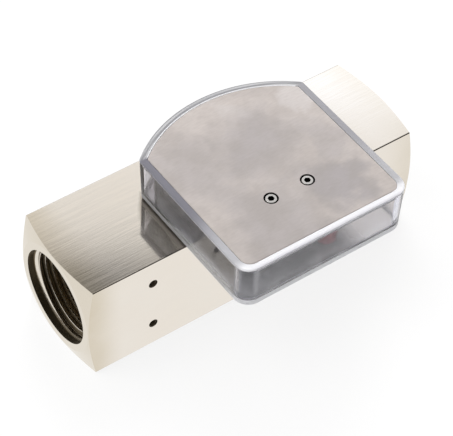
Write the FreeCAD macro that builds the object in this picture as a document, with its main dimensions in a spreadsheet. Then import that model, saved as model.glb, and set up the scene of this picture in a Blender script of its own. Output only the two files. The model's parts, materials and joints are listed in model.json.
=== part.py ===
import FreeCAD, Part
import math
import os
from types import SimpleNamespace

import Sketcher

# Variable area flow meter: a square bar with a female pipe thread in each end, a spring-loaded
# float inside it, and a clear indicator housing on top whose pointer follows the float's magnet.
# Millimetres. Origin at the centre of the underside of the bar, +X along the flow, +Z up.

DIMENSIONS = [
    # Square bar
    ("body_width", 40.0),
    ("body_length", 131.0),
    ("long_edge_radius", 0.4),
    ("end_face_radius", 19.6),
    ("end_cone_radius", 30.0),
    ("end_cone_depth", 2.8),
    # Pipe ports, measured from each end face
    ("mouth_radius", 16.9),
    ("mouth_depth", 2.5),
    ("port_radius", 16.62),
    ("port_depth", 18.0),
    # Bores inside the ports
    ("seat_radius", 14.0),
    ("ring_groove_start", 20.6),
    ("ring_groove_width", 1.3),
    ("ring_groove_radius", 14.7),
    ("spider_length", 8.1),
    ("chamber_radius", 13.5),
    # Pair of bracket holes on the front face
    ("bracket_hole_x", 24.8),
    ("bracket_hole_spacing", 20.0),
    ("bracket_hole_radius", 1.65),
    ("bracket_hole_depth", 8.0),
    # Spiders and their retaining rings
    ("slip_gap", 0.05),
    ("spider_rim_radius", 12.2),
    ("spider_hub_radius", 5.2),
    ("spider_window_angle", 51.0),
    ("ring_thickness", 1.2),
    ("ring_inner_radius", 12.4),
    ("ring_half_angle", 158.0),
    ("ring_lug_angle", 149.0),
    ("ring_lug_radius", 1.9),
    ("ring_lug_place", 11.9),
    ("ring_lug_hole", 0.9),
    # Metering cone and its screw
    ("cone_base_radius", 6.1),
    ("cone_base_length", 3.2),
    ("cone_taper_length", 32.8),
    ("cone_tip_radius", 3.4),
    ("cone_tip_length", 2.0),
    ("cone_stem_radius", 2.4),
    ("cone_screw_radius", 2.0),
    ("cone_screw_head", 3.5),
    ("cone_screw_height", 4.0),
    ("cone_screw_socket", 1.5),
    ("cone_screw_reach", 8.0),
    ("cone_thread_spare", 1.0),
    # Float, measured from the inlet face with no flow
    ("float_start", 30.3),
    ("float_radius", 13.3),
    ("float_edge", 0.4),
    ("float_plate", 2.7),
    ("orifice_radius", 6.5),
    ("orifice_land", 1.0),
    ("orifice_exit", 8.0),
    ("float_cavity_radius", 10.0),
    ("sleeve_radius", 11.2),
    ("sleeve_end", 62.0),
    ("magnet_start", 49.0),
    ("magnet_length", 8.0),
    ("magnet_radius", 13.0),
    ("retainer_length", 4.5),
    ("float_groove_start", 35.0),
    ("float_groove_width", 1.2),
    ("float_groove_depth", 0.5),
    ("float_groove_pitch", 4.0),
    # Return spring and its seat
    ("spring_radius", 8.9),
    ("spring_wire", 0.55),
    ("spring_turns", 9.0),
    ("seat_flange_radius", 10.0),
    ("seat_flange_thickness", 1.2),
    ("seat_collar_radius", 7.9),
    ("seat_collar_length", 3.3),
    ("seat_inner_radius", 6.8),
    # Indicator housing, seen from above, measured from the pointer's pivot
    ("pivot_x", 3.5),
    ("pivot_reach", 31.0),
    ("housing_half_width", 32.5),
    ("housing_arc_radius", 49.0),
    ("housing_front", 21.5),
    ("housing_corner", 6.0),
    ("housing_back_corner", 2.0),
    ("inner_back_corner", 0.8),
    # Indicator housing in height
    ("housing_height", 18.0),
    ("housing_draft_angle", 1.9),
    ("housing_foot_radius", 1.2),
    ("housing_brim_radius", 0.4),
    ("seat_relief", 0.1),
    ("seat_pad_radius", 4.2),
    ("housing_wall", 3.0),
    ("housing_rim", 2.4),
    ("housing_floor", 2.5),
    # Lid plate and small screws
    ("lid_thickness", 2.5),
    ("lid_gap", 0.1),
    ("lid_edge_radius", 0.25),
    ("small_screw_place", 7.1),
    ("small_screw_radius", 1.2),
    ("small_screw_hole", 1.35),
    ("small_screw_head", 1.95),
    ("small_screw_height", 1.6),
    ("small_screw_socket", 1.0),
    ("small_socket_depth", 1.0),
    ("screw_edge", 0.15),
    ("small_screw_recess", 2.45),
    ("small_recess_depth", 1.7),
    ("lid_screw_reach", 7.6),
    ("bridge_screw_reach", 5.2),
    # Screws that hold the housing on the bar
    ("housing_screw_radius", 1.45),
    ("housing_screw_hole", 1.5),
    ("housing_screw_head", 2.7),
    ("housing_screw_height", 2.0),
    ("housing_screw_socket", 1.25),
    ("housing_socket_depth", 1.2),
    ("housing_screw_reach", 4.6),
    ("housing_thread_depth", 5.0),
    ("front_screw_x", 19.0),
    ("front_screw_y", 17.0),
    ("back_screw_x", 20.0),
    ("back_screw_y", 32.5),
    # Bridge, strap and bearings of the pointer
    ("bridge_base_radius", 4.6),
    ("bridge_base_height", 2.2),
    ("post_radius", 3.4),
    ("post_hole", 1.25),
    ("strap_thickness", 1.1),
    ("bearing_radius", 1.5),
    ("bearing_flange_radius", 2.4),
    ("bearing_flange", 0.4),
    ("bearing_bottom", 0.3),
    ("shaft_radius", 0.8),
    ("shaft_tip", 0.5),
    ("shaft_gap", 0.05),
    # Pointer, measured from the pivot and from the floor of the housing
    ("pointer_rest_angle", 32.0),
    ("hub_radius", 3.0),
    ("hub_start", 2.8),
    ("hub_end", 10.9),
    ("arm_thickness", 2.2),
    ("arm_root", 1.8),
    ("arm_end", 2.2),
    ("follower_place", 31.0),
    ("follower_cup_radius", 4.1),
    ("follower_cup_start", 0.7),
    ("follower_radius", 3.0),
    ("follower_length", 3.2),
    ("tail_end", 14.0),
    ("tail_root", 1.7),
    ("weight_place", 12.0),
    ("weight_radius", 3.4),
    ("weight_start", 0.8),
    ("weight_height", 7.2),
    ("needle_thickness", 0.6),
    ("needle_root", 1.6),
    ("needle_tip", 0.8),
    ("needle_reach", 43.6),
    ("needle_flag_start", 3.5),
    # Curved scale strip
    ("strip_radius", 41.5),
    ("strip_thickness", 0.6),
    ("strip_half_angle", 44.0),
    ("strip_top", 10.4),
    ("strip_groove_depth", 1.0),
    ("strip_groove_gap", 0.1),
    ("strip_groove_angle", 44.3),
]

SPIDER_ARMS = 3
FLOAT_GROOVES = 3
WIRE_SIDES = 8


class Size:
    """A size that keeps both its number and the sheet expression that gives it."""

    def __init__(self, value, text):
        self.value = float(value)
        self.text = text

    def __add__(self, other):
        other = as_size(other)
        return Size(self.value + other.value, f"({self.text} + {other.text})")

    def __sub__(self, other):
        other = as_size(other)
        return Size(self.value - other.value, f"({self.text} - {other.text})")

    def __mul__(self, factor):
        return Size(self.value * factor, f"({self.text} * {factor})")

    def __truediv__(self, factor):
        return Size(self.value / factor, f"({self.text} / {factor})")

    def __neg__(self):
        return Size(-self.value, f"(-{self.text})")


def as_size(number):
    """The same size, or a plain number as a size."""
    return number if isinstance(number, Size) else Size(number, str(float(number)))


ZERO = Size(0.0, "0")

doc = FreeCAD.newDocument("flow_meter")
sheet = doc.addObject("Spreadsheet::Sheet", "dims")
for row, (alias, number) in enumerate(DIMENSIONS, start=1):
    sheet.set(f"A{row}", alias)
    sheet.set(f"B{row}", str(number))
    sheet.setAlias(f"B{row}", alias)
doc.recompute()
d = SimpleNamespace(**{alias: Size(number, f"dims.{alias}") for alias, number in DIMENSIONS})

# Places that several pieces share
HALF_LENGTH = d.body_length / 2
HALF_WIDTH = d.body_width / 2
RING_GROOVE_END = d.ring_groove_start + d.ring_groove_width
SHOULDER = RING_GROOVE_END + d.spider_length
MAGNET_END = d.magnet_start + d.magnet_length
CAVITY_START = d.float_start + d.float_plate
SEAT_FACE = d.body_length - SHOULDER - d.seat_flange_thickness
FLOOR_HEIGHT = d.body_width + d.housing_floor
LID_UNDERSIDE = d.housing_height - d.lid_thickness
POST_TOP = LID_UNDERSIDE - d.housing_floor - d.strap_thickness
ARM_TOP = d.hub_start + d.arm_thickness
INLET_CENTRE = (-HALF_LENGTH, ZERO, HALF_WIDTH)
PIVOT_ON_BAR = (d.pivot_x, -d.pivot_reach, d.body_width)
PIVOT_ON_FLOOR = (d.pivot_x, -d.pivot_reach, FLOOR_HEIGHT)
HOUSING_SCREW_PLACES = [
    (d.front_screw_x, d.front_screw_y),
    (-d.front_screw_x, d.front_screw_y),
    (d.back_screw_x, d.back_screw_y),
    (-d.back_screw_x, d.back_screw_y),
]
SMALL_SCREW_PLACES = [d.small_screw_place, -d.small_screw_place]

subparts = {}


# Bodies and sketches

def new_body(label, place, rotation=FreeCAD.Rotation(), exported=True):
    """Body whose own origin stands at the given place of the meter's frame."""
    body = doc.addObject("PartDesign::Body", label)
    body.Label = label
    body.Placement = FreeCAD.Placement(FreeCAD.Vector(), rotation)
    for axis, size in zip("xyz", place):
        body.setExpression(f"Placement.Base.{axis}", size.text)
    if exported:
        subparts[label] = body
    return body


def pointer_body(label):
    """Body of the pointer, turned to where it points with no flow."""
    body = new_body(label, PIVOT_ON_FLOOR)
    body.setExpression("Placement.Rotation.Angle", d.pointer_rest_angle.text)
    return body


def group(label, bodies):
    """Several equal pieces kept together as one sub-part of separate solids."""
    compound = doc.addObject("Part::Compound", label)
    compound.Label = label
    compound.Links = bodies
    subparts[label] = compound


def origin_feature(body, role):
    """The named plane or axis of the body's own origin."""
    return next(item for item in body.Origin.OriginFeatures if item.Role == role)


def sketch_on(body, name, plane, height=ZERO):
    """Empty sketch on one of the body's origin planes, raised along the plane's normal."""
    sketch = body.newObject("Sketcher::SketchObject", name)
    sketch.AttachmentSupport = [(origin_feature(body, plane), "")]
    sketch.MapMode = "FlatFace"
    sketch.setExpression("AttachmentOffset.Base.z", height.text)
    return sketch


def bind(sketch, constraint, size):
    """Adds a dimension to the sketch and ties it to the sheet."""
    index = sketch.addConstraint(constraint)
    sketch.setExpression(f"Constraints[{index}]", size.text)


def hold_point(sketch, geometry, end, across, up):
    """Fixes one point of the sketch at a distance across and up from the sketch's origin."""
    for kind, axis, size in (("DistanceX", -2, across), ("DistanceY", -1, up)):
        if size.value == 0:
            sketch.addConstraint(Sketcher.Constraint("PointOnObject", geometry, end, axis))
        else:
            bind(sketch, Sketcher.Constraint(kind, -1, 1, geometry, end, size.value), size)


def polar(radius, angle):
    """Distances across and up to a point at a radius, at an angle in degrees from the upward axis."""
    turn = math.radians(angle.value)
    across = Size(radius.value * math.sin(turn), f"({radius.text} * sin({angle.text} * 1 deg))")
    up = Size(radius.value * math.cos(turn), f"({radius.text} * cos({angle.text} * 1 deg))")
    return across, up


def arc_about(centre, radius, start, end):
    """Arc of a circle from one angle in radians to another, anticlockwise."""
    circle = Part.Circle(FreeCAD.Vector(*centre, 0), FreeCAD.Vector(0, 0, 1), radius)
    return Part.ArcOfCircle(circle, start, end)


def line_between(start, end):
    """Straight line between two points of a sketch."""
    return Part.LineSegment(FreeCAD.Vector(*start, 0), FreeCAD.Vector(*end, 0))


def draw_polygon(sketch, corners):
    """Closed outline of straight lines through the given corners."""
    points = [(across.value, up.value) for across, up in corners]
    first = sketch.GeometryCount
    for index, point in enumerate(points):
        sketch.addGeometry(line_between(point, points[(index + 1) % len(points)]), False)
    for index, (across, up) in enumerate(corners):
        before = first + (index - 1) % len(corners)
        sketch.addConstraint(Sketcher.Constraint("Coincident", before, 2, first + index, 1))
        hold_point(sketch, first + index, 1, across, up)


def draw_rectangle(sketch, left, right, low, high):
    """Rectangle between two sides and two levels."""
    draw_polygon(sketch, [(left, low), (right, low), (right, high), (left, high)])


def draw_circle(sketch, across, up, radius):
    """Circle at a place of the sketch."""
    centre = FreeCAD.Vector(across.value, up.value, 0)
    circle = sketch.addGeometry(Part.Circle(centre, FreeCAD.Vector(0, 0, 1), radius.value), False)
    hold_point(sketch, circle, 3, across, up)
    bind(sketch, Sketcher.Constraint("Radius", circle, radius.value), radius)


def draw_regular(sketch, sides, across, up, inner_radius):
    """Regular polygon given by the radius of the circle inside it, with a flat side on the right."""
    reach = 1.0 / math.cos(math.pi / sides)
    corners = []
    for step in range(sides):
        angle = math.pi * (2 * step + 1) / sides
        out = inner_radius * round(reach * math.cos(angle), 9)
        rise = inner_radius * round(reach * math.sin(angle), 9)
        corners.append((across + out, up + rise))
    draw_polygon(sketch, corners)


def draw_sector(sketch, inner, outer, half_angle):
    """Piece of a ring, reaching the same angle to each side of the sketch's upward axis."""
    spread = math.radians(half_angle.value)
    low, high = math.pi / 2 - spread, math.pi / 2 + spread
    first = sketch.GeometryCount

    def at(radius, angle):
        return (radius.value * math.cos(angle), radius.value * math.sin(angle))

    sketch.addGeometry(arc_about((0, 0), outer.value, low, high), False)
    sketch.addGeometry(arc_about((0, 0), inner.value, low, high), False)
    sketch.addGeometry(line_between(at(inner, low), at(outer, low)), False)
    sketch.addGeometry(line_between(at(inner, high), at(outer, high)), False)
    for offset, radius in enumerate((outer, inner)):
        sketch.addConstraint(Sketcher.Constraint("Coincident", first + offset, 3, -1, 1))
        bind(sketch, Sketcher.Constraint("Radius", first + offset, radius.value), radius)
    for offset, end, side in ((2, 1, -1.0), (3, 2, 1.0)):
        line = first + offset
        sketch.addConstraint(Sketcher.Constraint("Coincident", line, 1, first + 1, end))
        sketch.addConstraint(Sketcher.Constraint("Coincident", line, 2, first, end))
        turn = half_angle * side + 90.0
        angle = Sketcher.Constraint("Angle", line, math.radians(turn.value))
        bind(sketch, angle, Size(turn.value, f"({turn.text} * 1 deg)"))
        sketch.addConstraint(Sketcher.Constraint("PointOnObject", -1, 1, line))


def draw_slot(sketch, half_length, radius):
    """Slot outline along the sketch's first axis, centred on the sketch's origin."""
    reach, bend = half_length.value, radius.value
    sketch.addGeometry(arc_about((reach, 0), bend, -math.pi / 2, math.pi / 2), False)
    sketch.addGeometry(line_between((reach, bend), (-reach, bend)), False)
    sketch.addGeometry(arc_about((-reach, 0), bend, math.pi / 2, 1.5 * math.pi), False)
    sketch.addGeometry(line_between((-reach, -bend), (reach, -bend)), False)
    for piece in range(4):
        sketch.addConstraint(Sketcher.Constraint("Tangent", piece, 2, (piece + 1) % 4, 1))
    hold_point(sketch, 0, 3, half_length, ZERO)
    hold_point(sketch, 2, 3, -half_length, ZERO)
    bind(sketch, Sketcher.Constraint("Radius", 0, bend), radius)


def draw_housing_outline(sketch, inset, back_corner):
    """The housing's D-shaped outline: two straight sides, a straight front and an arc about the
    pivot at the back, moved inwards by the inset."""
    width = d.housing_half_width - inset
    radius = d.housing_arc_radius - inset
    front = d.housing_front - inset
    corner = d.housing_corner - inset
    side, rise, bend, round_back = width.value, front.value, corner.value, back_corner.value
    back = math.sqrt((radius.value - round_back) ** 2 - (side - round_back) ** 2)
    turn = math.atan2(back, side - round_back)
    pi = math.pi
    pieces = [
        line_between((side, bend - rise), (side, back)),
        arc_about((side - round_back, back), round_back, 0, turn),
        arc_about((0, 0), radius.value, turn, pi - turn),
        arc_about((round_back - side, back), round_back, pi - turn, pi),
        line_between((-side, back), (-side, bend - rise)),
        arc_about((bend - side, bend - rise), bend, pi, 1.5 * pi),
        line_between((bend - side, -rise), (side - bend, -rise)),
        arc_about((side - bend, bend - rise), bend, 1.5 * pi, 2 * pi),
    ]
    right_side, back_arc, left_side, front_side = 0, 2, 4, 6
    for piece in pieces:
        sketch.addGeometry(piece, False)
    for index in range(len(pieces)):
        following = (index + 1) % len(pieces)
        sketch.addConstraint(Sketcher.Constraint("Tangent", index, 2, following, 1))
    sketch.addConstraint(Sketcher.Constraint("Vertical", right_side))
    sketch.addConstraint(Sketcher.Constraint("Vertical", left_side))
    sketch.addConstraint(Sketcher.Constraint("Horizontal", front_side))
    sketch.addConstraint(Sketcher.Constraint("Coincident", back_arc, 3, -1, 1))
    for index, size in ((1, back_corner), (2, radius), (3, back_corner), (5, corner), (7, corner)):
        bind(sketch, Sketcher.Constraint("Radius", index, size.value), size)
    bind(sketch, Sketcher.Constraint("DistanceX", -1, 1, right_side, 1, side), width)
    bind(sketch, Sketcher.Constraint("DistanceX", -1, 1, left_side, 1, -side), -width)
    bind(sketch, Sketcher.Constraint("DistanceY", -1, 1, front_side, 1, -rise), -front)


# Features

def pad(body, sketch, length):
    """Raises the sketch along its normal."""
    feature = body.newObject("PartDesign::Pad", f"{sketch.Name}_pad")
    feature.Profile = sketch
    feature.setExpression("Length", length.text)
    return feature


def revolve(body, sketch, axis):
    """Turns the sketch once round one of its own axes."""
    feature = body.newObject("PartDesign::Revolution", f"{sketch.Name}_turned")
    feature.Profile = sketch
    feature.ReferenceAxis = (sketch, [axis])
    feature.Angle = 360.0
    return feature


def check_cut(feature, before):
    """Stops the build when a cut removed nothing."""
    doc.recompute()
    if not feature.Shape.Volume < before:
        raise RuntimeError(f"{feature.Name} removes nothing")
    return feature


def solid_volume(body):
    """Volume of the body as it stands."""
    doc.recompute()
    return body.Shape.Volume


def pocket(body, sketch, depth):
    """Cuts the sketch into the solid against the sketch's normal."""
    before = solid_volume(body)
    feature = body.newObject("PartDesign::Pocket", f"{sketch.Name}_cut")
    feature.Profile = sketch
    feature.setExpression("Length", depth.text)
    return check_cut(feature, before)


def groove(body, sketch, axis):
    """Cuts the sketch, turned once round one of its own axes, out of the solid."""
    before = solid_volume(body)
    feature = body.newObject("PartDesign::Groove", f"{sketch.Name}_groove")
    feature.Profile = sketch
    feature.ReferenceAxis = (sketch, [axis])
    feature.Angle = 360.0
    return check_cut(feature, before)


def draft_sides(body, base, angle):
    """Leans the upright sides of a pad inwards from its top face down."""
    doc.recompute()
    top = base.Shape.BoundBox.ZMax
    named = [(f"Face{i}", face.BoundBox) for i, face in enumerate(base.Shape.Faces, start=1)]
    feature = body.newObject("PartDesign::Draft", f"{base.Name}_drafted")
    feature.Base = (base, [name for name, box in named if box.ZLength > top / 2])
    feature.NeutralPlane = (base, [name for name, box in named if box.ZMin > top / 2])
    feature.Reversed = True
    feature.setExpression("Angle", angle.text)
    return feature


def fillet(body, base, chosen, radius):
    """Rounds the edges of the base feature that the chosen test picks."""
    doc.recompute()
    names = [f"Edge{i}" for i, edge in enumerate(base.Shape.Edges, start=1) if chosen(edge)]
    feature = body.newObject("PartDesign::Fillet", f"{base.Name}_rounded")
    feature.Base = (base, names)
    feature.setExpression("Radius", radius.text)
    return feature


def turned_piece(label, place, plane_axis, corners):
    """Sub-part turned from one closed outline, round the flow axis or round an upright axis."""
    body = new_body(label, place)
    sketch = sketch_on(body, f"{label}_outline", "XZ_Plane")
    draw_polygon(sketch, corners)
    revolve(body, sketch, plane_axis)
    return body


FLOW_AXIS = "H_Axis"
UPRIGHT_AXIS = "V_Axis"


# Square bar with its ports, stepped bore and tapped holes

def bore_corners():
    """Stepped outline of the bore, from the inlet face to the outlet face."""
    inlet = [
        (ZERO, ZERO),
        (ZERO, d.mouth_radius),
        (d.mouth_depth, d.mouth_radius),
        (d.mouth_depth, d.port_radius),
        (d.port_depth, d.port_radius),
        (d.port_depth, d.seat_radius),
        (d.ring_groove_start, d.seat_radius),
        (d.ring_groove_start, d.ring_groove_radius),
        (RING_GROOVE_END, d.ring_groove_radius),
        (RING_GROOVE_END, d.seat_radius),
        (SHOULDER, d.seat_radius),
        (SHOULDER, d.chamber_radius),
    ]
    outlet = [(d.body_length - along, radius) for along, radius in reversed(inlet)]
    return inlet + outlet


def make_meter_body():
    body = new_body("meter_body", INLET_CENTRE)
    square = sketch_on(body, "bar_section", "YZ_Plane")
    draw_rectangle(square, -HALF_WIDTH, HALF_WIDTH, -HALF_WIDTH, HALF_WIDTH)
    bar = pad(body, square, d.body_length)
    fillet(body, bar, lambda edge: edge.Length > HALF_LENGTH.value, d.long_edge_radius)

    for name, face, inward in (("inlet_cone", ZERO, 1.0), ("outlet_cone", d.body_length, -1.0)):
        cone = sketch_on(body, name, "XZ_Plane")
        rim = face + d.end_cone_depth * inward
        draw_polygon(cone, [(face, d.end_face_radius), (face, d.end_cone_radius), (rim, d.end_cone_radius)])
        groove(body, cone, FLOW_AXIS)

    bore = sketch_on(body, "bore", "XZ_Plane")
    draw_polygon(bore, bore_corners())
    groove(body, bore, FLOW_AXIS)

    bracket_holes = sketch_on(body, "bracket_holes", "XZ_Plane", HALF_WIDTH)
    for side in (1.0, -1.0):
        height = d.bracket_hole_spacing * (side / 2)
        draw_circle(bracket_holes, d.bracket_hole_x, height, d.bracket_hole_radius)
    pocket(body, bracket_holes, d.bracket_hole_depth)

    top_holes = sketch_on(body, "housing_thread", "XY_Plane", HALF_WIDTH)
    for across, back in HOUSING_SCREW_PLACES:
        along = HALF_LENGTH + d.pivot_x + across
        draw_circle(top_holes, along, back - d.pivot_reach, d.housing_screw_hole)
    pocket(body, top_holes, d.housing_thread_depth)


# Three-armed spiders that carry the cone, and the rings that keep them in

def make_spider(label, start, hub_hole):
    body = new_body(label, INLET_CENTRE)
    disc = sketch_on(body, f"{label}_disc", "YZ_Plane", start)
    draw_circle(disc, ZERO, ZERO, d.seat_radius - d.slip_gap)
    draw_circle(disc, ZERO, ZERO, hub_hole)
    pad(body, disc, d.spider_length)

    window = sketch_on(body, f"{label}_window", "YZ_Plane", start + d.spider_length)
    draw_sector(window, d.spider_hub_radius, d.spider_rim_radius, d.spider_window_angle)
    cut = pocket(body, window, d.spider_length)
    pattern = body.newObject("PartDesign::PolarPattern", f"{label}_windows")
    pattern.Originals = [cut]
    pattern.Axis = (origin_feature(body, "X_Axis"), [""])
    pattern.Angle = 360.0
    pattern.Occurrences = SPIDER_ARMS
    body.Tip = pattern
    return body


def make_spiders():
    inlet = make_spider("inlet_spider", RING_GROOVE_END, d.cone_screw_radius + d.slip_gap)
    recess = sketch_on(inlet, "cone_screw_recess", "XZ_Plane")
    seat = RING_GROOVE_END + d.cone_screw_height
    draw_rectangle(recess, RING_GROOVE_END, seat, ZERO, d.cone_screw_head + d.slip_gap)
    groove(inlet, recess, FLOW_AXIS)
    make_spider("outlet_spider", d.body_length - SHOULDER, d.cone_stem_radius + d.slip_gap)


def make_retaining_ring(label, start):
    body = new_body(label, INLET_CENTRE)
    ring = sketch_on(body, f"{label}_band", "YZ_Plane", start)
    draw_sector(ring, d.ring_inner_radius, d.ring_groove_radius - d.slip_gap, d.ring_half_angle)
    pad(body, ring, d.ring_thickness)

    across, rise = polar(d.ring_lug_place, d.ring_lug_angle)
    lugs = sketch_on(body, f"{label}_lugs", "YZ_Plane", start)
    holes = sketch_on(body, f"{label}_plier_holes", "YZ_Plane", start + d.ring_thickness)
    for side in (across, -across):
        draw_circle(lugs, side, rise, d.ring_lug_radius)
        draw_circle(holes, side, rise, d.ring_lug_hole)
    pad(body, lugs, d.ring_thickness)
    pocket(body, holes, d.ring_thickness)


def make_retaining_rings():
    make_retaining_ring("inlet_retaining_ring", RING_GROOVE_END - d.ring_thickness)
    make_retaining_ring("outlet_retaining_ring", d.body_length - RING_GROOVE_END)


# Fixed metering cone on the flow axis

def make_metering_cone():
    taper_start = SHOULDER + d.cone_base_length
    taper_end = taper_start + d.cone_taper_length
    step_end = taper_end + d.cone_tip_length
    stem_end = d.body_length - RING_GROOVE_END
    thread_end = SHOULDER + d.cone_screw_reach + d.cone_thread_spare
    thread_radius = d.cone_screw_radius + d.slip_gap
    turned_piece("metering_cone", INLET_CENTRE, FLOW_AXIS, [
        (SHOULDER, thread_radius),
        (SHOULDER, d.cone_base_radius),
        (taper_start, d.cone_base_radius),
        (taper_end, d.cone_tip_radius),
        (step_end, d.cone_stem_radius),
        (stem_end, d.cone_stem_radius),
        (stem_end, ZERO),
        (thread_end, ZERO),
        (thread_end, thread_radius),
    ])


def make_cone_screw():
    seat = RING_GROOVE_END + d.cone_screw_height
    end = SHOULDER + d.cone_screw_reach
    body = turned_piece("cone_screw", INLET_CENTRE, FLOW_AXIS, [
        (RING_GROOVE_END, ZERO),
        (RING_GROOVE_END, d.cone_screw_head),
        (seat, d.cone_screw_head),
        (seat, d.cone_screw_radius),
        (end, d.cone_screw_radius),
        (end, ZERO),
    ])
    depth = d.cone_screw_height / 2
    socket = sketch_on(body, "cone_screw_socket", "YZ_Plane", RING_GROOVE_END + depth)
    draw_regular(socket, 6, ZERO, ZERO, d.cone_screw_socket)
    pocket(body, socket, depth)


# Float with its magnet

def make_float():
    body = turned_piece("float_piston", INLET_CENTRE, FLOW_AXIS, [
        (d.float_start, d.orifice_radius),
        (d.float_start, d.float_radius - d.float_edge),
        (d.float_start + d.float_edge, d.float_radius),
        (d.magnet_start, d.float_radius),
        (d.magnet_start, d.sleeve_radius),
        (d.sleeve_end, d.sleeve_radius),
        (d.sleeve_end, d.float_cavity_radius),
        (CAVITY_START, d.float_cavity_radius),
        (CAVITY_START, d.orifice_exit),
        (d.float_start + d.orifice_land, d.orifice_radius),
    ])
    ring = sketch_on(body, "float_groove", "XZ_Plane")
    groove_end = d.float_groove_start + d.float_groove_width
    groove_floor = d.float_radius - d.float_groove_depth
    draw_rectangle(ring, d.float_groove_start, groove_end, groove_floor, d.float_radius + d.float_edge)
    cut = groove(body, ring, FLOW_AXIS)
    pattern = body.newObject("PartDesign::LinearPattern", "float_grooves")
    pattern.Originals = [cut]
    pattern.Direction = (origin_feature(body, "X_Axis"), [""])
    pattern.Occurrences = FLOAT_GROOVES
    pattern.setExpression("Length", (d.float_groove_pitch * (FLOAT_GROOVES - 1)).text)
    body.Tip = pattern

    bore = d.sleeve_radius + d.slip_gap
    turned_piece("ring_magnet", INLET_CENTRE, FLOW_AXIS, [
        (d.magnet_start, bore),
        (d.magnet_start, d.magnet_radius),
        (MAGNET_END, d.magnet_radius),
        (MAGNET_END, bore),
    ])
    retainer_end = MAGNET_END + d.retainer_length
    turned_piece("magnet_retainer", INLET_CENTRE, FLOW_AXIS, [
        (MAGNET_END, bore),
        (MAGNET_END, d.float_radius),
        (retainer_end - d.float_edge, d.float_radius),
        (retainer_end, d.float_radius - d.float_edge),
        (retainer_end, bore),
    ])


# Return spring and the seat that centres it on the outlet spider

def make_spring():
    body = new_body("return_spring", INLET_CENTRE)
    wire = sketch_on(body, "spring_wire", "XZ_Plane")
    draw_regular(wire, WIRE_SIDES, CAVITY_START + d.spring_wire, d.spring_radius, d.spring_wire)
    coil = body.newObject("PartDesign::AdditiveHelix", "spring_coil")
    coil.Profile = wire
    coil.ReferenceAxis = (wire, ["H_Axis"])
    coil.Mode = "height-turns-angle"
    coil.setExpression("Height", (SEAT_FACE - CAVITY_START - d.spring_wire * 2.0).text)
    coil.setExpression("Turns", d.spring_turns.text)

    collar_start = SEAT_FACE - d.seat_collar_length
    shoulder = d.body_length - SHOULDER
    turned_piece("spring_seat", INLET_CENTRE, FLOW_AXIS, [
        (collar_start, d.seat_inner_radius),
        (collar_start, d.seat_collar_radius),
        (SEAT_FACE, d.seat_collar_radius),
        (SEAT_FACE, d.seat_flange_radius),
        (shoulder, d.seat_flange_radius),
        (shoulder, d.seat_inner_radius),
    ])


# Clear indicator housing: a drafted tray, open at the top, that stands on a pad round each screw

def make_housing():
    body = new_body("indicator_housing", PIVOT_ON_BAR)
    brim = sketch_on(body, "housing_brim", "XY_Plane", d.seat_relief)
    draw_housing_outline(brim, ZERO, d.housing_back_corner)
    upright = pad(body, brim, d.housing_height - d.seat_relief)
    block = draft_sides(body, upright, d.housing_draft_angle)
    floor_top, lid_bottom = d.housing_floor.value, LID_UNDERSIDE.value
    foot = fillet(body, block, lambda edge: edge.BoundBox.ZMax < floor_top, d.housing_foot_radius)
    fillet(body, foot, lambda edge: edge.BoundBox.ZMin > lid_bottom, d.housing_brim_radius)

    seats = sketch_on(body, "screw_seats", "XY_Plane")
    for across, back in HOUSING_SCREW_PLACES:
        draw_circle(seats, across, back, d.seat_pad_radius)
    pad(body, seats, d.housing_floor / 2)

    inside = sketch_on(body, "housing_inside", "XY_Plane", d.housing_height)
    draw_housing_outline(inside, d.housing_wall, d.inner_back_corner)
    pocket(body, inside, d.housing_height - d.housing_floor)
    ledge = sketch_on(body, "lid_ledge", "XY_Plane", d.housing_height)
    draw_housing_outline(ledge, d.housing_rim, d.inner_back_corner)
    pocket(body, ledge, d.lid_thickness)

    strip_groove = sketch_on(body, "strip_groove", "XY_Plane", d.housing_floor)
    half = d.strip_thickness / 2 + d.strip_groove_gap
    draw_sector(strip_groove, d.strip_radius - half, d.strip_radius + half, d.strip_groove_angle)
    pocket(body, strip_groove, d.strip_groove_depth)

    holes = sketch_on(body, "housing_screw_holes", "XY_Plane", d.housing_floor)
    for across, back in HOUSING_SCREW_PLACES:
        draw_circle(holes, across, back, d.housing_screw_hole)
    for across in SMALL_SCREW_PLACES:
        draw_circle(holes, across, ZERO, d.small_screw_hole)
    pocket(body, holes, d.housing_floor)
    recesses = sketch_on(body, "bridge_screw_recesses", "XY_Plane", d.small_recess_depth)
    for across in SMALL_SCREW_PLACES:
        draw_circle(recesses, across, ZERO, d.small_screw_recess)
    pocket(body, recesses, d.small_recess_depth)


# Metal lid plate, flush in the brim of the housing

def make_lid():
    body = new_body("lid_plate", PIVOT_ON_BAR)
    outline = sketch_on(body, "lid_outline", "XY_Plane", LID_UNDERSIDE)
    draw_housing_outline(outline, d.housing_rim + d.lid_gap, d.inner_back_corner)
    plate = pad(body, outline, d.lid_thickness)
    fillet(body, plate, lambda edge: edge.BoundBox.ZMin > LID_UNDERSIDE.value, d.lid_edge_radius)
    for name, radius, depth in (
        ("lid_holes", d.small_screw_hole, d.lid_thickness),
        ("lid_recesses", d.small_screw_recess, d.small_recess_depth),
    ):
        sketch = sketch_on(body, name, "XY_Plane", d.housing_height)
        for across in SMALL_SCREW_PLACES:
            draw_circle(sketch, across, ZERO, radius)
        pocket(body, sketch, depth)


# Socket-head screws

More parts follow.
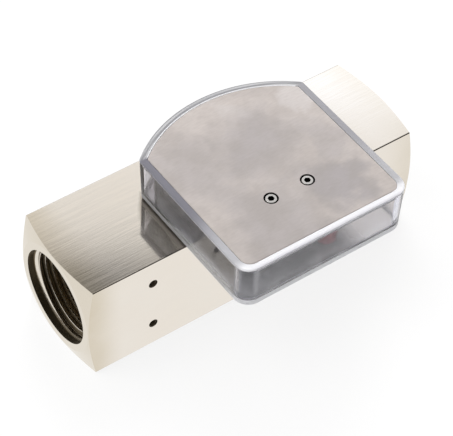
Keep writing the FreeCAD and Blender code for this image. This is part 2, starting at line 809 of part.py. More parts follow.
def make_screw(name, place, rotation, radius, reach, head, height, socket, socket_depth):
    """Screw hanging down from the seat of its head, which is the body's own origin."""
    body = new_body(name, place, rotation, exported=False)
    outline = sketch_on(body, f"{name}_outline", "XZ_Plane")
    draw_polygon(outline, [
        (ZERO, -reach),
        (radius, -reach),
        (radius, ZERO),
        (head, ZERO),
        (head, height - d.screw_edge),
        (head - d.screw_edge, height),
        (ZERO, height),
    ])
    revolve(body, outline, UPRIGHT_AXIS)
    key = sketch_on(body, f"{name}_socket", "XY_Plane", height)
    draw_regular(key, 6, ZERO, ZERO, socket)
    pocket(body, key, socket_depth)
    return body


def make_screws():
    upright = FreeCAD.Rotation()
    turned_over = FreeCAD.Rotation(FreeCAD.Vector(1, 0, 0), 180)
    small = (d.small_screw_head, d.small_screw_height, d.small_screw_socket, d.small_socket_depth)
    lid_seat = d.body_width + d.housing_height - d.small_recess_depth
    bridge_seat = d.body_width + d.small_recess_depth
    lid_screws = []
    bridge_screws = []
    for number, across in enumerate(SMALL_SCREW_PLACES, start=1):
        along = d.pivot_x + across
        lid_place = (along, -d.pivot_reach, lid_seat)
        bridge_place = (along, -d.pivot_reach, bridge_seat)
        lid_screws.append(make_screw(
            f"lid_screw_{number}", lid_place, upright, d.small_screw_radius, d.lid_screw_reach, *small))
        bridge_screws.append(make_screw(
            f"bridge_screw_{number}", bridge_place, turned_over, d.small_screw_radius,
            d.bridge_screw_reach, *small))
    group("lid_screws", lid_screws)
    group("bridge_screws", bridge_screws)

    housing_screws = []
    for number, (across, back) in enumerate(HOUSING_SCREW_PLACES, start=1):
        place = (d.pivot_x + across, back - d.pivot_reach, FLOOR_HEIGHT)
        housing_screws.append(make_screw(
            f"housing_screw_{number}", place, upright, d.housing_screw_radius,
            d.housing_floor + d.housing_screw_reach, d.housing_screw_head,
            d.housing_screw_height, d.housing_screw_socket, d.housing_socket_depth))
    group("housing_screws", housing_screws)


# Bridge, strap and bearings that carry the pointer

def make_bridge():
    body = new_body("pivot_bridge", PIVOT_ON_FLOOR)
    base = sketch_on(body, "bridge_base", "XY_Plane")
    draw_slot(base, d.small_screw_place, d.bridge_base_radius)
    pad(body, base, d.bridge_base_height)
    posts = sketch_on(body, "bridge_posts", "XY_Plane")
    holes = sketch_on(body, "bridge_holes", "XY_Plane", POST_TOP)
    for across in SMALL_SCREW_PLACES:
        draw_circle(posts, across, ZERO, d.post_radius)
        draw_circle(holes, across, ZERO, d.post_hole)
    pad(body, posts, POST_TOP)
    pocket(body, holes, POST_TOP)
    bearing_hole = sketch_on(body, "lower_bearing_hole", "XY_Plane", d.bridge_base_height)
    draw_circle(bearing_hole, ZERO, ZERO, d.bearing_radius)
    pocket(body, bearing_hole, d.bridge_base_height)


def make_strap():
    body = new_body("bearing_strap", PIVOT_ON_FLOOR)
    outline = sketch_on(body, "strap_outline", "XY_Plane", POST_TOP)
    draw_slot(outline, d.small_screw_place, d.post_radius)
    pad(body, outline, d.strap_thickness)
    holes = sketch_on(body, "strap_holes", "XY_Plane", POST_TOP + d.strap_thickness)
    for across in SMALL_SCREW_PLACES:
        draw_circle(holes, across, ZERO, d.small_screw_hole)
    draw_circle(holes, ZERO, ZERO, d.bearing_radius)
    pocket(body, holes, d.strap_thickness)


def make_bearings():
    bore = d.shaft_radius + d.shaft_gap
    flange_top = d.bridge_base_height + d.bearing_flange
    sleeve = d.bearing_radius - d.slip_gap
    turned_piece("lower_bearing", PIVOT_ON_FLOOR, UPRIGHT_AXIS, [
        (ZERO, ZERO),
        (sleeve, ZERO),
        (sleeve, d.bridge_base_height),
        (d.bearing_flange_radius, d.bridge_base_height),
        (d.bearing_flange_radius, flange_top),
        (bore, flange_top),
        (bore, d.bearing_bottom),
        (ZERO, d.bearing_bottom),
    ])
    strap_top = POST_TOP + d.strap_thickness
    turned_piece("upper_bearing", PIVOT_ON_FLOOR, UPRIGHT_AXIS, [
        (bore, POST_TOP),
        (sleeve, POST_TOP),
        (sleeve, strap_top),
        (bore, strap_top),
    ])


# Pointer: shaft, hub with follower arm and tail, needle, magnet and balance weight

def make_shaft():
    low = d.bearing_bottom + d.shaft_gap
    high = POST_TOP + d.strap_thickness - d.shaft_gap
    body = pointer_body("pivot_shaft")
    outline = sketch_on(body, "shaft_outline", "XZ_Plane")
    draw_polygon(outline, [
        (ZERO, low),
        (d.shaft_radius, low + d.shaft_tip),
        (d.shaft_radius, high - d.shaft_tip),
        (ZERO, high),
    ])
    revolve(body, outline, UPRIGHT_AXIS)


def make_pointer_arm():
    body = pointer_body("pointer_arm")
    hub = sketch_on(body, "hub", "XY_Plane", d.hub_start)
    draw_circle(hub, ZERO, ZERO, d.hub_radius)
    pad(body, hub, d.hub_end - d.hub_start)
    arm = sketch_on(body, "arm", "XY_Plane", d.hub_start)
    draw_polygon(arm, [
        (-d.tail_root, -d.tail_end),
        (d.tail_root, -d.tail_end),
        (d.arm_root, ZERO),
        (d.arm_end, d.follower_place),
        (-d.arm_end, d.follower_place),
        (-d.arm_root, ZERO),
    ])
    pad(body, arm, d.arm_thickness)
    cup = sketch_on(body, "follower_cup", "XY_Plane", d.follower_cup_start)
    draw_circle(cup, ZERO, d.follower_place, d.follower_cup_radius)
    pad(body, cup, ARM_TOP - d.follower_cup_start)

    magnet_top = d.follower_cup_start + d.follower_length
    magnet_hole = sketch_on(body, "follower_hole", "XY_Plane", magnet_top)
    draw_circle(magnet_hole, ZERO, d.follower_place, d.follower_radius + d.slip_gap)
    pocket(body, magnet_hole, d.follower_length)
    shaft_hole = sketch_on(body, "shaft_hole", "XY_Plane", d.hub_end)
    draw_circle(shaft_hole, ZERO, ZERO, d.shaft_radius + d.slip_gap)
    pocket(body, shaft_hole, d.hub_end - d.hub_start)


def make_follower_magnet():
    body = pointer_body("follower_magnet")
    disc = sketch_on(body, "follower_disc", "XY_Plane", d.follower_cup_start)
    draw_circle(disc, ZERO, d.follower_place, d.follower_radius)
    pad(body, disc, d.follower_length)


def make_balance_weight():
    """Red weight pushed onto the tail of the arm, which fills a slot through it."""
    body = pointer_body("balance_weight")
    disc = sketch_on(body, "weight_disc", "XY_Plane", d.weight_start)
    draw_circle(disc, ZERO, -d.weight_place, d.weight_radius)
    pad(body, disc, d.weight_height)
    slot = sketch_on(body, "weight_slot", "XY_Plane", ARM_TOP)
    half = d.arm_root + d.slip_gap
    reach = d.weight_radius * 1.5
    draw_rectangle(slot, -half, half, -d.weight_place - reach, reach - d.weight_place)
    pocket(body, slot, d.arm_thickness)


def make_needle():
    body = pointer_body("needle")
    blade = sketch_on(body, "needle_blade", "XY_Plane", d.hub_end)
    draw_polygon(blade, [
        (-d.needle_root, ZERO),
        (d.needle_root, ZERO),
        (d.needle_tip, d.needle_reach),
        (-d.needle_tip, d.needle_reach),
    ])
    pad(body, blade, d.needle_thickness)
    eye = sketch_on(body, "needle_eye", "XY_Plane", d.hub_end)
    draw_circle(eye, ZERO, ZERO, d.hub_radius)
    pad(body, eye, d.needle_thickness)
    flag = sketch_on(body, "needle_flag", "XY_Plane", d.needle_flag_start)
    inner = d.needle_reach - d.needle_thickness
    draw_rectangle(flag, -d.needle_tip, d.needle_tip, inner, d.needle_reach)
    pad(body, flag, d.hub_end + d.needle_thickness - d.needle_flag_start)
    hole = sketch_on(body, "needle_hole", "XY_Plane", d.hub_end + d.needle_thickness)
    draw_circle(hole, ZERO, ZERO, d.shaft_radius + d.slip_gap)
    pocket(body, hole, d.needle_thickness)


# Curved scale strip that stands in the groove of the housing floor

def make_scale_strip():
    body = new_body("scale_strip", PIVOT_ON_FLOOR)
    half = d.strip_thickness / 2
    curve = sketch_on(body, "strip_curve", "XY_Plane", -d.strip_groove_depth)
    draw_sector(curve, d.strip_radius - half, d.strip_radius + half, d.strip_half_angle)
    pad(body, curve, d.strip_top + d.strip_groove_depth)


def check_document():
    """Stops the build when any object failed or any sub-part has no sound shape."""
    doc.recompute()
    for item in doc.Objects:
        if "Invalid" in item.State or "Error" in item.State:
            raise RuntimeError(f"{item.Name} failed: {item.State}")
    for label, item in subparts.items():
        if item.Shape.isNull() or not item.Shape.isValid() or not item.Shape.Solids:
            raise RuntimeError(f"{label} has no sound shape")


make_meter_body()
make_spiders()
make_retaining_rings()
make_metering_cone()
make_cone_screw()
make_float()
make_spring()
make_housing()
make_lid()
make_screws()
make_bridge()
make_strap()
make_bearings()
make_shaft()
make_pointer_arm()
make_follower_magnet()
make_balance_weight()
make_needle()
make_scale_strip()
check_document()

os.makedirs("parts", exist_ok=True)
for label, item in subparts.items():
    item.Shape.exportStep(f"parts/{label}.step")
    print(f"{label}: {len(item.Shape.Solids)} solid, {item.Shape.Volume:.1f} mm3")
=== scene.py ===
import json
import math

import bmesh
import bpy
from mathutils import Matrix, Vector


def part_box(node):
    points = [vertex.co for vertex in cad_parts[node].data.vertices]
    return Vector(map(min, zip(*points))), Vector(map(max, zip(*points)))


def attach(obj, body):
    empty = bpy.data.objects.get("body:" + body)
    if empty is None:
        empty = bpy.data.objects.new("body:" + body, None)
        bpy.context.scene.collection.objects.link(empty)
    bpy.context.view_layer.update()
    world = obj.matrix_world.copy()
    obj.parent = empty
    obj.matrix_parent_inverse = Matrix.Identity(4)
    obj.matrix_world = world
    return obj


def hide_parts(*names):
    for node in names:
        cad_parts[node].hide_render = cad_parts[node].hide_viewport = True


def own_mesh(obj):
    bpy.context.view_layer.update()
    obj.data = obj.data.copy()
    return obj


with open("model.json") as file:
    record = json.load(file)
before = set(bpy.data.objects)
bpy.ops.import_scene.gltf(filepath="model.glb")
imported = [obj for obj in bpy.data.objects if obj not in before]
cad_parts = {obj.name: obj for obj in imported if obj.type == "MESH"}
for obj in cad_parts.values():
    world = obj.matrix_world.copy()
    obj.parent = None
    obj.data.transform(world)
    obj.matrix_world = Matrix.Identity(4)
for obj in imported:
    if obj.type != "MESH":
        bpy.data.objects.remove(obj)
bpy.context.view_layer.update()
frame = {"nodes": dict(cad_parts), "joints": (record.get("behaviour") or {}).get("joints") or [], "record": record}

# Looks of a variable area flow meter: a nickel-plated bar with threaded ports, and a clear
# indicator housing with a bare metal lid. Metres, in the frame of the solids.

nodes = frame["nodes"]
MM = 0.001

# Places taken from the solids
BAR_LOW, BAR_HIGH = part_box("meter_body")
FLOW_AXIS_HEIGHT = (BAR_LOW.z + BAR_HIGH.z) / 2
SHAFT_LOW, SHAFT_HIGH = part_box("pivot_shaft")
PIVOT = (SHAFT_LOW + SHAFT_HIGH) / 2
LID_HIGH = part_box("lid_plate")[1]
LID_ARC = LID_HIGH.y - PIVOT.y
LID_SCREW_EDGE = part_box("lid_screws")[1].z - 0.08 * MM
TRAY_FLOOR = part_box("pivot_bridge")[0].z
TRAY_LOW, TRAY_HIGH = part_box("indicator_housing")
TRAY_LEFT, TRAY_FRONT = TRAY_LOW.xy
ARC_END = PIVOT.y + math.sqrt((TRAY_HIGH.y - PIVOT.y) ** 2 - (PIVOT.x - TRAY_LEFT) ** 2)
STRIP_LOW, STRIP_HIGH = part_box("scale_strip")
STRIP_FACE_RADIUS = STRIP_HIGH.y - PIVOT.y
SPRING_LOW, SPRING_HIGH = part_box("return_spring")
POINTER_RANGE = math.radians(frame["joints"][1]["range_deg"][1])

# Threads, with depths measured from the face that each starts at
THREAD_ROOT = 16.62 * MM
THREAD_CREST = 15.2 * MM
THREAD_START = 2.5 * MM
PIPE_THREAD = {
    "pitch": 2.309 * MM, "root": THREAD_ROOT, "crest": THREAD_CREST, "start": THREAD_START, "end": 17.2 * MM,
    "steps": 96,
}
HOLE_THREAD = {
    "pitch": 0.7 * MM, "root": 1.65 * MM, "crest": 1.4 * MM, "start": 0.15 * MM, "end": 6.5 * MM, "steps": 32,
}
ENTRY_SLOPE = 1.4
THREAD_START_TURN = 0.25
HALF_CRESTS_PER_PITCH = 12
LEAST_RIDGE = 0.05 * MM
ROOT_OVERLAP = 0.03 * MM

# Return spring
SPRING_WIRE = 0.55 * MM
SPRING_TURNS = 9
SPRING_STEPS = 60
SPRING_SIDES = 12

# Scale marks on the strip
MARK_COUNT = 21
MARKS_PER_NUMBER = 4
NUMBER_STEP = 20
MARK_TOP = 47.2 * MM
LONG_MARK = 2.9 * MM
SHORT_MARK = 1.7 * MM
LONG_MARK_WIDTH = 0.42 * MM
SHORT_MARK_WIDTH = 0.28 * MM
NUMBER_HEIGHT = 3.0 * MM
NUMBER_BASE = 48.2 * MM
FIGURE_SHARE_OF_TYPE = 0.7
CURVE_STEPS = 3
INK_THICKNESS = 0.04 * MM
WELD_DISTANCE = 0.001 * MM

# Where the looks of a piece change
BORE_LIMIT = 17.0 * MM
TARNISH_REACH = 14.0 * MM
# Reach and slant of the painted shade on the bar's top beside the tray
BAR_SHADE_REACH = 6.5 * MM
BAR_SHADE_SLANT = 1.3
# Where the painted shade sheet on the tray's floor thins out
SHADE_SHEET_END = PIVOT.x + 13.0 * MM
ARC_LINES_PER_METRE = 1300.0
ARC_LINE_BREAKS_PER_METRE = 110.0
STRIP_BORDER_ANGLE = math.asin((PIVOT.x - STRIP_LOW.x) / STRIP_FACE_RADIUS) - math.radians(2.6)

# Stains and worn places on the lid, each with its radius and strength
LID_STAINS = (
    (Vector((5.0, -10.0, 0.0)) * MM, 17.0 * MM, 0.8),
    (Vector((20.0, -38.0, 0.0)) * MM, 8.0 * MM, 1.0),
    (Vector((-8.0, -42.0, 0.0)) * MM, 17.0 * MM, 0.65),
    (Vector((-18.0, -7.0, 0.0)) * MM, 16.0 * MM, 0.55),
    (Vector((11.0, -46.0, 0.0)) * MM, 7.0 * MM, 0.8),
    (Vector((27.0, -22.0, 0.0)) * MM, 8.0 * MM, 0.55),
)
LID_WORN = (
    (Vector((30.0, 0.0, 0.0)) * MM, 5.0 * MM, 0.6),
    (Vector((8.0, 9.0, 0.0)) * MM, 5.0 * MM, 0.4),
)
STAIN_RAGGEDNESS = 6.0 * MM

# Values of a noise between which a look goes from one end to the other
NOISE_WIDE = (0.3, 0.7)
NOISE_NARROW = (0.35, 0.65)

# Floor and lamps; each lamp has its name, its place and its power
FLOOR_HALF_WIDTH = 3.0
FLOOR_GAP = 0.02 * MM
LAMP_SIZE = 0.9
LAMPS = (
    ("key_lamp", Vector((0.7, 0.9, 1.2)), 14.0),
    ("fill_lamp", Vector((-0.9, 0.3, 1.4)), 8.0),
    ("front_lamp", Vector((-0.5, -1.1, 1.0)), 10.0),
)

# Camera, found by fitting the edges of the bar and the housing
CAMERA_PLACE = Vector((-0.25935, -0.34945, 0.50227))
CAMERA_AZIMUTH = math.radians(-36.843)
CAMERA_ELEVATION = math.radians(48.065)
CAMERA_ROLL = math.radians(-2.24)
PICTURE_WIDTH = 453
FOCAL_PIXELS = 1926.8
SENSOR_WIDTH = 36.0


# Colours

def colour(red, green, blue):
    """Opaque colour."""
    return (red, green, blue, 1.0)


WHITE = colour(1.0, 1.0, 1.0)
BLACK = colour(0.01, 0.01, 0.01)

# Bar and threads; the pairs are blended
PLATE = (colour(0.80, 0.735, 0.65), colour(0.81, 0.765, 0.70))
TURNED_END = (colour(0.67, 0.61, 0.505), colour(0.74, 0.68, 0.585))
TARNISHED = colour(0.58, 0.50, 0.36)
STREAKED = colour(0.62, 0.57, 0.52)
# Painted shade on the bar's top beside the tray's left wall
SHADE_BESIDE_TRAY = colour(0.22, 0.19, 0.15)
# Painted dark reflection along the bar's slanted edges
EDGE_DARK_REFLECTION = colour(0.12, 0.10, 0.08)
# Painted shade in the bore: lighter where the wall faces down, darker where it faces up
BORE_SHADE_FACING_DOWN_AND_UP = (colour(0.25, 0.205, 0.13), colour(0.12, 0.10, 0.065))
# Thread: painted highlight on crests and at the root line, painted shade on the flanks
CREST_HIGHLIGHT = (colour(0.80, 0.74, 0.65), colour(0.70, 0.64, 0.55))
FLANK_SHADE_NEAR_AND_FAR = (colour(0.15, 0.12, 0.075), colour(0.34, 0.27, 0.165))
ROOT_HIGHLIGHT_LINE = colour(0.60, 0.51, 0.37)

# Lid
LID_PLAIN = (colour(0.77, 0.705, 0.665), colour(0.68, 0.62, 0.585))
LID_STAINED = (colour(0.57, 0.53, 0.53), colour(0.54, 0.50, 0.485))
LID_BRIGHT = colour(0.86, 0.81, 0.79)
LID_GRAIN = colour(0.495, 0.45, 0.43)
# Painted shade under the lid and in its recesses
LID_SHADE_UNDERNEATH = colour(0.03, 0.03, 0.03)

# Tray
# Painted reflection on the tray's brim, by side and round the arc
BRIM_REFLECTION_SIDE_FRONT = colour(0.47, 0.47, 0.49)
BRIM_REFLECTION_BACK_LEFT_AND_RIGHT = (colour(0.20, 0.195, 0.23), colour(0.37, 0.365, 0.39))
BRIM_REFLECTION_ARC = (colour(0.27, 0.27, 0.285), colour(0.60, 0.60, 0.61))
# Painted sheen on the tray's foot, lighter at the front
FOOT_SHEEN_FRONT_AND_BACK = (colour(0.68, 0.68, 0.70), colour(0.45, 0.45, 0.46))
# Painted shade sheet on the tray's floor: darker at the back, lighter at the front, painted light beside the left
# wall
SHADE_SHEET_BACK = (colour(0.11, 0.107, 0.102), colour(0.32, 0.312, 0.304))
SHADE_SHEET_FRONT = (colour(0.34, 0.33, 0.32), colour(0.62, 0.61, 0.60))
SHEET_LIGHT_BESIDE_WALL = colour(0.80, 0.79, 0.78)
CLEAR_TINT = (colour(0.94, 0.94, 0.97), colour(0.97, 0.97, 0.98))
CLEAR_DEPTH = {"Color": colour(0.45, 0.45, 0.62), "Density": 50.0}

# Scale strip, floor and studio
STRIP_WHITE = (colour(0.80, 0.80, 0.77), colour(0.74, 0.74, 0.72))
STRIP_BACK = colour(0.16, 0.16, 0.175)
PAPER = (colour(0.90, 0.90, 0.90), colour(0.92, 0.92, 0.92))
STUDIO_WARM_AND_COOL = (colour(1.0, 0.99, 0.98), colour(0.95, 1.0, 1.10))

# Metals with tool marks: two colours, the bounds of the roughness, and the top of a socket painted black as shade
TURNED_METALS = {
    # hole_thread_metal is near-black: painted shade inside the bracket holes
    "hole_thread_metal": (colour(0.10, 0.08, 0.055), colour(0.05, 0.04, 0.028), 0.2, 0.35),
    "stainless": (colour(0.62, 0.61, 0.59), colour(0.52, 0.51, 0.49), 0.22, 0.34),
    "spring_steel": (colour(0.50, 0.49, 0.48), colour(0.40, 0.39, 0.38), 0.28, 0.4),
    "screw_steel": (colour(0.80, 0.78, 0.75), colour(0.70, 0.68, 0.65), 0.2, 0.32),
    # Lid screws: painted black shade below just under the head's top, in the socket and recess
    "lid_screw_steel": (colour(0.72, 0.70, 0.67), colour(0.62, 0.60, 0.57), 0.2, 0.32, LID_SCREW_EDGE),
    "float_brass": (colour(0.74, 0.56, 0.28), colour(0.64, 0.47, 0.22), 0.22, 0.34),
    "ferrite": (colour(0.06, 0.06, 0.063), colour(0.035, 0.035, 0.037), 0.5, 0.7),
}

# Moulded plastic and paint: two colours and the bounds of the roughness
MOULDINGS = {
    "black_plastic": (colour(0.02, 0.02, 0.021), colour(0.032, 0.032, 0.033), 0.4, 0.55),
    "red_paint": (colour(0.55, 0.02, 0.018), colour(0.46, 0.016, 0.015), 0.3, 0.42),
    "weight_red": (colour(0.44, 0.05, 0.075), colour(0.37, 0.04, 0.06), 0.4, 0.5),
}


# Node helpers

def join(tree, value, socket):
    """Feeds a socket from another node's output, or sets it to a number or colour."""
    if isinstance(value, bpy.types.NodeSocket):
        tree.links.new(value, socket)
    else:
        socket.default_value = value


def add_node(tree, kind, inputs=None, **settings):
    """Adds a node; its inputs are given by name or place as numbers, colours or other outputs."""
    made = tree.nodes.new(kind)
    for name, value in settings.items():
        setattr(made, name, value)
    for key, value in (inputs or {}).items():
        join(tree, value, made.inputs[key])
    return made


def maths(tree, operation, first, *others):
    """Arithmetic step, repeated for each further value."""
    for other in others:
        first = add_node(tree, "ShaderNodeMath", {0: first, 1: other}, operation=operation).outputs[0]
    return first


def total(tree, first, *others):
    """Sum of several values."""
    return maths(tree, "ADD", first, *others)


def difference(tree, first, second):
    """First value less the second."""
    return maths(tree, "SUBTRACT", first, second)


def rest_of(tree, share):
    """What a share leaves of the whole."""
    return difference(tree, 1.0, share)


def product(tree, first, *others):
    """Product of several values."""
    return maths(tree, "MULTIPLY", first, *others)


def largest(tree, first, *others):
    """Largest of several values."""
    return maths(tree, "MAXIMUM", first, *others)


def size_of(tree, value):
    """Value without its sign."""
    return maths(tree, "ABSOLUTE", value, 0.0)


def below(tree, value, limit):
    """1 where a value is less than a limit, 0 elsewhere."""
    return maths(tree, "LESS_THAN", value, limit)


def above(tree, value, limit):
    """1 where a value is more than a limit, 0 elsewhere."""
    return maths(tree, "GREATER_THAN", value, limit)


def diagonal(tree, first, second):
    """Length of the diagonal over two lengths at right angles."""
    squares = total(tree, maths(tree, "POWER", first, 2.0), maths(tree, "POWER", second, 2.0))
    return maths(tree, "SQRT", squares, 0.0)


def ramp_between(tree, value, low, high, start, end):
    """Smooth step from one number to another while a value goes from low to high."""
    inputs = {"Value": value, "From Min": low, "From Max": high, "To Min": start, "To Max": end}
    made = add_node(tree, "ShaderNodeMapRange", inputs, interpolation_type="SMOOTHSTEP")
    return made.outputs["Result"]


def rise(tree, value, low, high):
    """Smooth step from 0 to 1 while a value goes from low to high."""
    return ramp_between(tree, value, low, high, 0.0, 1.0)


def fall(tree, value, low, high):
    """Smooth step from 1 to 0 while a value goes from low to high."""
    return ramp_between(tree, value, low, high, 1.0, 0.0)


def blend_colours(tree, factor, first, second):
    """Colour between two colours."""
    inputs = {"Factor": factor, 6: first, 7: second}
    return add_node(tree, "ShaderNodeMix", inputs, data_type="RGBA").outputs[2]


def place(tree, stretch=(1.0, 1.0, 1.0)):
    """The point's place on the piece, in metres, stretched along each axis."""
    where = add_node(tree, "ShaderNodeTexCoord").outputs["Object"]
    return add_node(tree, "ShaderNodeMapping", {"Vector": where, "Scale": stretch}).outputs["Vector"]


def axes_of(tree, vector):
    """Parts of a vector along each axis, by name."""
    return add_node(tree, "ShaderNodeSeparateXYZ", {"Vector": vector}).outputs


def point_axes(tree):
    """The point's place along each axis, by name."""
    return axes_of(tree, place(tree))


def normal_axes(tree):
    """The surface's direction along each axis, by name."""
    return axes_of(tree, add_node(tree, "ShaderNodeNewGeometry").outputs["Normal"])


def noise(tree, scale, detail=2.0, stretch=(1.0, 1.0, 1.0)):
    """Cloudy value between 0 and 1."""
    inputs = {"Vector": place(tree, stretch), "Scale": scale, "Detail": detail}
    return add_node(tree, "ShaderNodeTexNoise", inputs).outputs["Fac"]


def bump(tree, height, distance, strength=1.0):
    """Small relief."""
    inputs = {"Height": height, "Distance": distance, "Strength": strength}
    return add_node(tree, "ShaderNodeBump", inputs).outputs["Normal"]


def new_material(name, **sockets):
    """Material with one Principled shader whose steady values are set on its own sockets."""
    material = bpy.data.materials.new(name)
    material.use_nodes = True
    shader = material.node_tree.nodes["Principled BSDF"]
    for socket, value in sockets.items():
        shader.inputs[socket.replace("_", " ")].default_value = value
    return material, material.node_tree, shader.inputs


def upright_distance(tree, centre):
    """Distance of the point from an upright axis through a centre."""
    spot = point_axes(tree)
    across = difference(tree, spot["X"], centre.x)
    back = difference(tree, spot["Y"], centre.y)
    return diagonal(tree, across, back)


def flow_axis_distance(tree):
    """Distance of the point from the flow axis."""
    spot = point_axes(tree)
    height = difference(tree, spot["Z"], FLOW_AXIS_HEIGHT)
    return diagonal(tree, spot["Y"], height)


# Materials

def bar_shade_beside_tray(tree, spot, facing):
    """Share of painted shade on the bar's top, along the tray's left wall up to where its arc begins."""
    from_wall = difference(tree, spot["X"], TRAY_LEFT)
    near_tray = ramp_between(tree, spot["X"], TRAY_LEFT - BAR_SHADE_REACH, TRAY_LEFT - 0.5 * MM, 0.0, 0.7)
    on_left = below(tree, spot["X"], TRAY_LEFT + 2.0 * MM)
    slanting = difference(tree, spot["Y"], product(tree, from_wall, BAR_SHADE_SLANT))
    along_wall = fall(tree, slanting, ARC_END - 2.0 * MM, ARC_END + 1.0 * MM)
    on_top = above(tree, facing["Z"], 0.9)
    return product(tree, near_tray, on_left, along_wall, on_top)


def bar_outside(tree, spot, facing, streaks, on_end, inside):
    """Colour of the bar's outside: plated sides that yellow towards their ends, turned ends, a painted dark
    reflection along slanted edges, and painted shade on the top beside the tray.
    """
    clouds = noise(tree, 38.0, 3.0)
    near_end = rise(tree, size_of(tree, spot["X"]), BAR_HIGH.x - TARNISH_REACH, BAR_HIGH.x)
    tarnish = ramp_between(tree, spot["X"], BAR_LOW.x / 2, BAR_HIGH.x / 2, 1.15, 0.6)
    plate = blend_colours(tree, clouds, *PLATE)
    yellowed = blend_colours(tree, product(tree, near_end, tarnish, clouds), plate, TARNISHED)
    streaked = blend_colours(tree, product(tree, streaks, 0.03), yellowed, STREAKED)
    turned = blend_colours(tree, clouds, *TURNED_END)
    metal = blend_colours(tree, on_end, streaked, turned)
    # Painted shade darkens the bar's top beside the tray
    shaded_metal = blend_colours(tree, bar_shade_beside_tray(tree, spot, facing), metal, SHADE_BESIDE_TRAY)
    # Painted dark reflection on the slanted edges, outside the bore
    slanted = size_of(tree, product(tree, facing["Y"], facing["Z"]))
    on_edge = product(tree, above(tree, slanted, 0.3), rest_of(tree, inside))
    return blend_colours(tree, on_edge, shaded_metal, EDGE_DARK_REFLECTION)


def nickel_material():
    """Plated bar: brushed lengthwise on its sides, turned on its ends, dull in the bore, where painted shade
    darkens it, most on the wall that faces up.
    """
    material, tree, sockets = new_material("nickel_plate", Metallic=1.0)
    spot = point_axes(tree)
    facing = normal_axes(tree)
    radius = flow_axis_distance(tree)
    on_end = rise(tree, size_of(tree, facing["X"]), 0.3, 0.5)
    inside = below(tree, radius, BORE_LIMIT)
    in_bore = product(tree, inside, rest_of(tree, on_end))

    streaks = rise(tree, noise(tree, 1300.0, 3.0, (0.035, 1.0, 1.0)), *NOISE_NARROW)
    outside = bar_outside(tree, spot, facing, streaks, on_end, inside)
    # Painted shade inside the bore
    bore = blend_colours(tree, rise(tree, facing["Z"], 0.2, 0.9), *BORE_SHADE_FACING_DOWN_AND_UP)
    join(tree, blend_colours(tree, in_bore, outside, bore), sockets["Base Color"])

    polish = ramp_between(tree, streaks, 0.0, 1.0, 0.075, 0.105)
    join(tree, total(tree, polish, product(tree, in_bore, 0.32)), sockets["Roughness"])

    brush = noise(tree, 1900.0, 3.0, (0.06, 1.0, 1.0))
    rings = add_node(tree, "ShaderNodeTexNoise", {"W": radius, "Scale": 4200.0}, noise_dimensions="1D")
    grain = add_node(tree, "ShaderNodeMix", {"Factor": on_end, 2: brush, 3: rings.outputs["Fac"]}).outputs[0]
    join(tree, bump(tree, grain, 0.003 * MM), sockets["Normal"])
    return material


def thread_material():
    """Cut thread: a painted highlight along its crest and a faint painted highlight line at its root; dull, with
    painted shade, on its flanks.
    """
    material, tree, sockets = new_material("thread_metal", Metallic=1.0)
    radius = flow_axis_distance(tree)
    depth = difference(tree, BAR_HIGH.x, size_of(tree, point_axes(tree)["X"]))
    flank = rise(tree, radius, THREAD_CREST + 0.05 * MM, THREAD_CREST + 0.25 * MM)
    past_entry = rise(tree, depth, THREAD_START + 0.6 * MM, THREAD_START + 0.9 * MM)
    further_in = rise(tree, depth, THREAD_START + 2.0 * MM, THREAD_START + 6.0 * MM)
    root = rise(tree, radius, THREAD_ROOT - 0.3 * MM, THREAD_ROOT - 0.15 * MM)
    dull = product(tree, flank, past_entry)

    worn = noise(tree, 700.0, 2.0)
    # Painted highlight on the crest, painted shade on the flanks
    crest = blend_colours(tree, worn, *CREST_HIGHLIGHT)
    side = blend_colours(tree, further_in, *FLANK_SHADE_NEAR_AND_FAR)
    flank_shade_and_root_highlight = blend_colours(tree, root, side, ROOT_HIGHLIGHT_LINE)
    join(tree, blend_colours(tree, dull, crest, flank_shade_and_root_highlight), sockets["Base Color"])
    polish = ramp_between(tree, worn, *NOISE_WIDE, 0.10, 0.18)
    join(tree, total(tree, polish, product(tree, dull, 0.25)), sockets["Roughness"])
    return material


def turned_material(name, light, dark, low, high, socket_shade_top=None):
    """Metal with fine tool marks; low and high bound its roughness. Below the socket top it is painted black as
    shade.
    """
    material, tree, sockets = new_material(name, Metallic=1.0)
    marks = noise(tree, 900.0, 3.0)
    tone = blend_colours(tree, marks, light, dark)
    # Painted shade: black below the socket top
    if socket_shade_top is not None:
        in_socket_shade = below(tree, point_axes(tree)["Z"], socket_shade_top)
        tone = blend_colours(tree, in_socket_shade, tone, BLACK)
    join(tree, tone, sockets["Base Color"])
    join(tree, ramp_between(tree, marks, *NOISE_WIDE, low, high), sockets["Roughness"])
    join(tree, bump(tree, marks, 0.003 * MM), sockets["Normal"])
    return material


def patch(tree, centre, radius, strength, ragged):
    """Soft round patch on the lid with a ragged edge: its strength in its middle, 0 outside."""
    distance = total(tree, upright_distance(tree, centre), ragged)
    return ramp_between(tree, distance, 0.4 * radius, 1.5 * radius, strength, 0.0)


